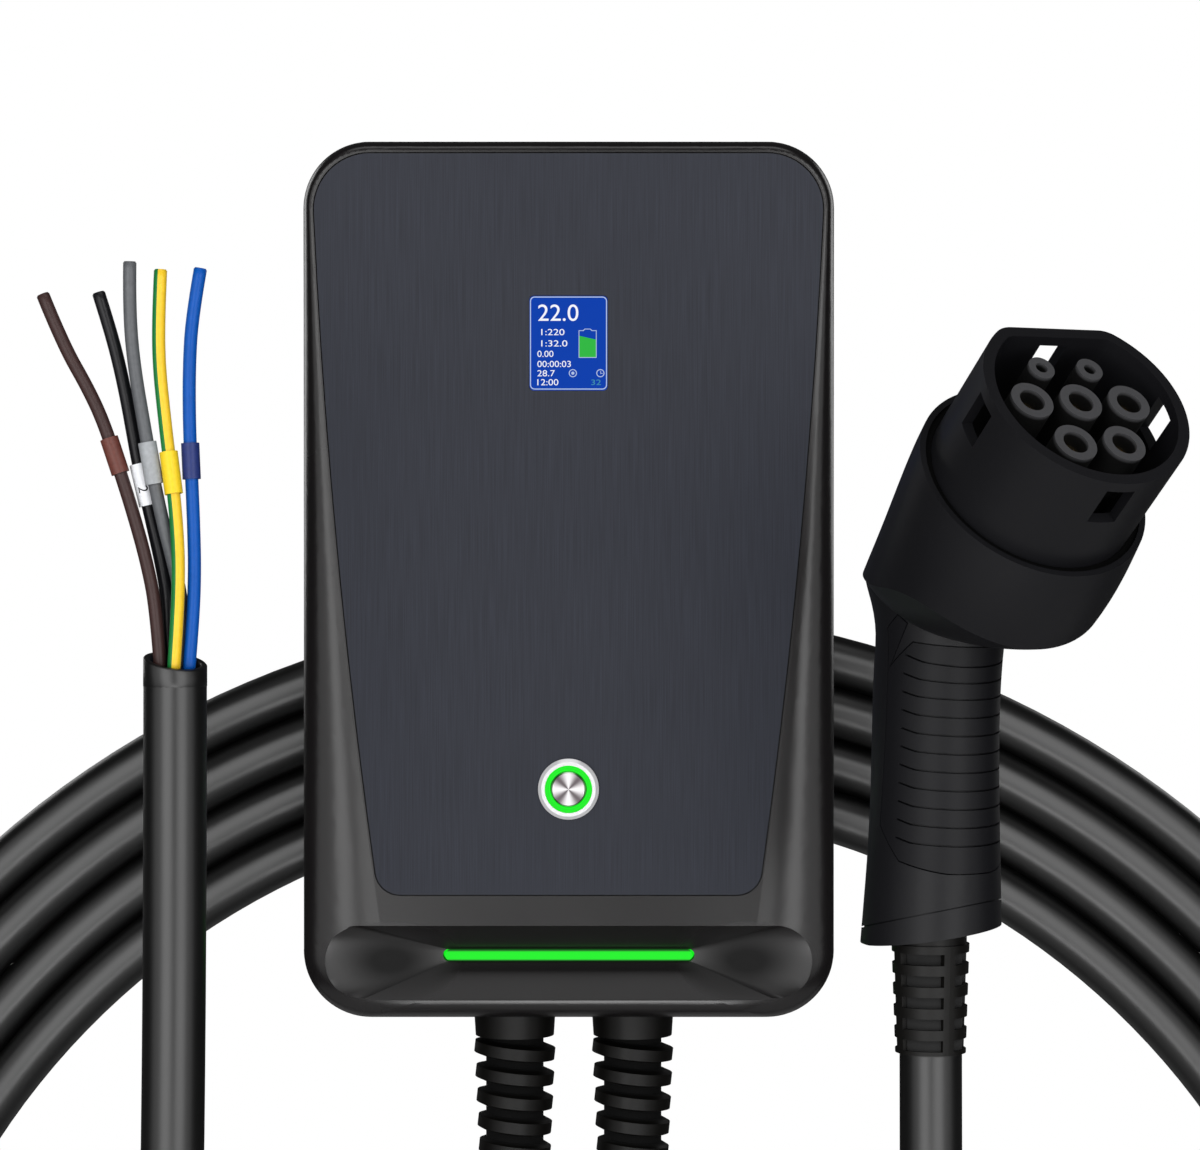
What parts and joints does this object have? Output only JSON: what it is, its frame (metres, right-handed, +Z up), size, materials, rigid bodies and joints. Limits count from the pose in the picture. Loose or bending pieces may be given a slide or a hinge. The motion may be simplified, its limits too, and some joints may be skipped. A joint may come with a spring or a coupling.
{
  "type": "wall mounted electric vehicle charger",
  "caption": "Wall charger with a bowed front, screen, lit button, light bar and ribbed cable exits, a coiled charging cable with its connector, and a supply cable with stripped cores.",
  "frame": {"origin": "centre of the wall screw pattern, on the wall", "axes": "+Z up, +Y into the wall, the front faces -Y"},
  "size_m": [0.704, 0.3458, 0.8664],
  "materials": {
    "bracket_steel": "satin black powder coat",
    "housing": "fine satin",
    "front": "finely brushed, dark slate",
    "gasket": "matte",
    "display": "glossy, lit blue",
    "module": "matte",
    "steel": "fine brushed",
    "green_light": "diffuse, lit green",
    "board": "solder mask",
    "relay": "matte",
    "transformer": "matte",
    "capacitor": "sleeved",
    "terminal": "matte",
    "nickel": "plated",
    "gland": "matte",
    "gland_plastic": "matte",
    "cable": "smooth, glossy",
    "inner_cores": "satin",
    "brown": "satin",
    "black": "satin",
    "grey": "satin",
    "earth": "satin, yellow with a green stripe",
    "blue": "satin",
    "sleeve_light": "satin",
    "sleeve_brown": "satin",
    "sleeve_yellow": "satin",
    "sleeve_blue": "satin",
    "gun": "fine grained",
    "grip": "soft touch",
    "insert": "matte",
    "tips": "satin",
    "contact": "bright"
  },
  "bodies": {
    "charger": {"wall_bracket": "bracket_steel", "back_housing": "housing", "housing_gasket": "gasket", "front_shell": "housing", "front_panel": "front", "display_screen": "display", "display_module": "module", "button_body": "steel", "button_ring": "green_light", "button_nut": "nickel", "light_bar": "green_light", "light_bar_board": "board", "housing_screws": "nickel", "bracket_screws": "nickel", "supply_relief": "gland", "charge_relief": "gland", "gland_nuts": "gland_plastic", "control_board": "board", "power_board": "board", "board_posts": "nickel", "relays": "relay", "capacitors": "capacitor", "transformer": "transformer", "input_terminals": "terminal", "output_terminals": "terminal", "supply_inner_cores": "inner_cores", "charge_inner_cores": "inner_cores", "current_sensor": "relay", "charge_lead": "cable", "charge_tail": "cable", "supply_cable": "cable", "cable_coil": "cable", "brown_core": "brown", "brown_sleeve": "sleeve_brown", "black_core": "black", "black_sleeve": "sleeve_light", "grey_core": "grey", "grey_sleeve": "sleeve_light", "earth_core": "earth", "earth_sleeve": "sleeve_yellow", "blue_core": "blue", "blue_sleeve": "sleeve_blue", "gun_shell": "gun", "grip_inlay": "grip", "gun_end_cap": "gun", "gun_collar_ring": "insert", "gun_shroud": "gun", "contact_carrier": "insert", "power_sleeves": "tips", "signal_sleeves": "tips", "power_contacts": "contact", "signal_contacts": "contact", "gun_relief": "gland"},
    "button": {"button_cap": "steel"}
  },
  "joints": [
    {"name": "button_press", "type": "slide", "parent": "charger", "child": "button", "axis": [0, 1, 0], "range_m": [0, 0.002], "stiffness_N_per_m": 800}
  ]
}
